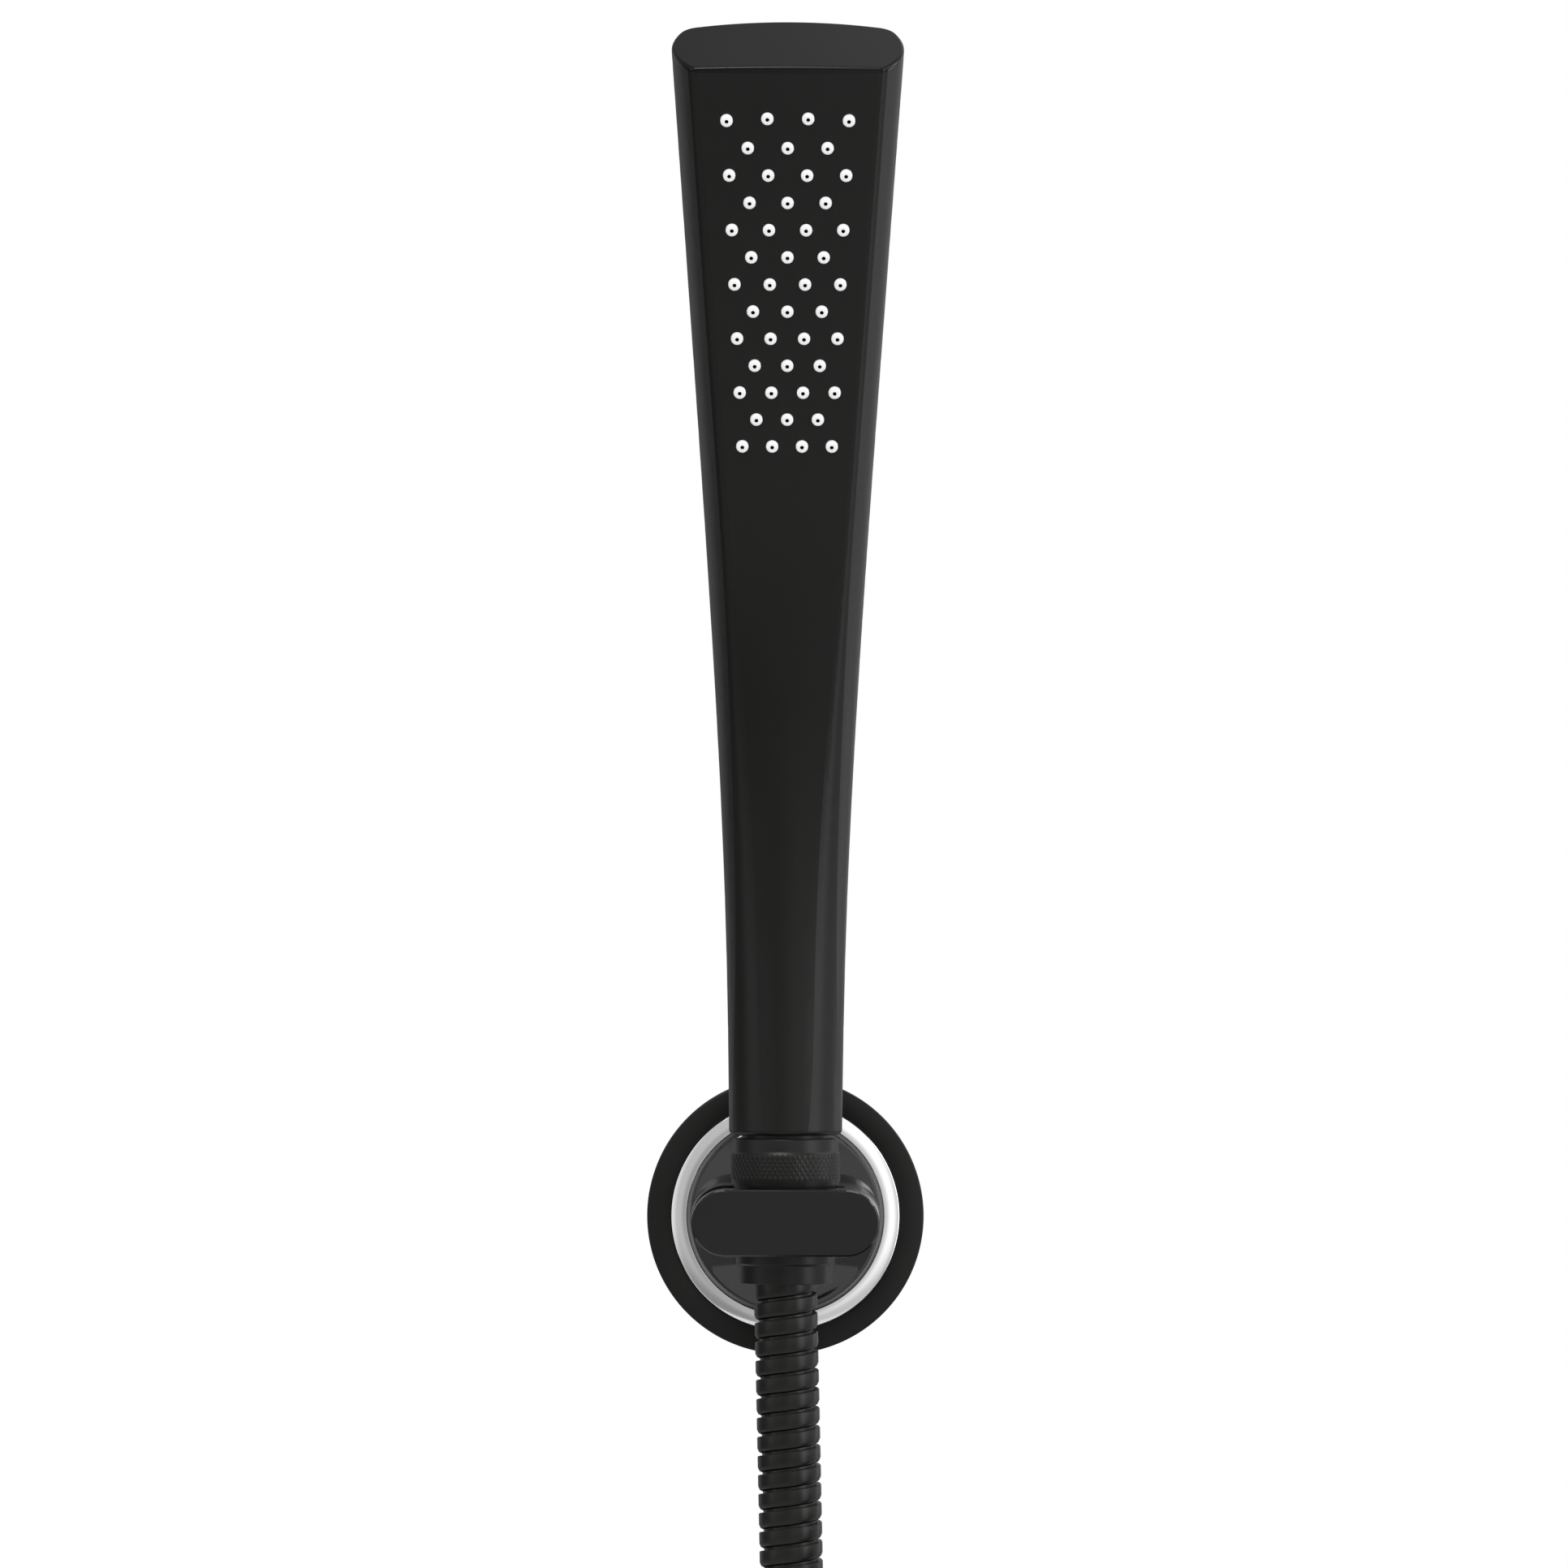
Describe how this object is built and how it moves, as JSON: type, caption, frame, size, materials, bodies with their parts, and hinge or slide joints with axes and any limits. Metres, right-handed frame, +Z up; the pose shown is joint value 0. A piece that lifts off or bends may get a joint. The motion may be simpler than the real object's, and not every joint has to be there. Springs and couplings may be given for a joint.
{
  "type": "handheld shower head",
  "caption": "Stick hand shower with silicone spray nozzles on a spiral hose, seated in a round swivelling wall holder with a pill-shaped arm.",
  "frame": {"origin": "centre of the wall bracket's back face, on the wall plane, on the axis that the holder turns about", "axes": "+Y into the wall, +Z up, +X to the right of someone facing the wall"},
  "size_m": [0.2097, 0.1231, 0.5263],
  "materials": {
    "satin_black": "satin",
    "gloss_black": "gloss",
    "hose_black": "satin",
    "chrome": "polished",
    "steel": "brushed",
    "brass": "machined",
    "white_silicone": "matte",
    "black_rubber": "matte",
    "natural_plastic": "matte",
    "grey_tie": "matte"
  },
  "bodies": {
    "wall_mount": {"wall_bracket": "steel", "wall_gasket": "black_rubber", "rosette": "satin_black", "chrome_ring": "chrome", "rosette_grub_screw": "steel", "spindle": "steel", "friction_o_ring": "black_rubber"},
    "holder": {"swivel_dome": "gloss_black", "holder_arm": "gloss_black", "seat_liner": "satin_black", "arm_screws": "steel", "retaining_screw": "steel"},
    "handset": {"handset_shell": "satin_black", "end_cap": "satin_black", "end_cap_seal": "black_rubber", "nozzle_mat": "white_silicone", "jet_plate": "natural_plastic", "cartridge_cover": "natural_plastic", "chamber_seal": "black_rubber", "water_tube": "natural_plastic", "tube_o_rings": "black_rubber", "inlet_connector": "satin_black", "flow_limiter": "natural_plastic", "inlet_strainer": "steel", "inlet_washer": "black_rubber", "swivel_washer": "natural_plastic", "hose_end_insert": "brass", "hose_end_sleeve": "steel", "hose_tube": "hose_black", "hose_coil": "hose_black", "hose_tie": "grey_tie", "supply_end_sleeve": "steel", "supply_end_insert": "brass", "supply_end_washer": "black_rubber"},
    "cone_nut": {"cone_nut": "satin_black"},
    "supply_nut": {"supply_end_nut": "satin_black"}
  },
  "joints": [
    {"name": "holder_swivel", "type": "hinge", "parent": "wall_mount", "child": "holder", "pos_m": [0, 0, 0], "axis": [0, -1, 0], "range_deg": [-45, 45]},
    {"name": "handset_lift", "type": "slide", "parent": "holder", "child": "handset", "axis": [0, 0, 1], "range_m": [0, 0.05]},
    {"name": "cone_nut_spin", "type": "hinge", "parent": "handset", "child": "cone_nut", "pos_m": [0, -0.044, 0], "axis": [0, 0, 1], "continuous": true},
    {"name": "supply_nut_spin", "type": "hinge", "parent": "handset", "child": "supply_nut", "pos_m": [0.166, -0.0815, -0.1211], "axis": [0, 0, 1], "continuous": true}
  ]
}
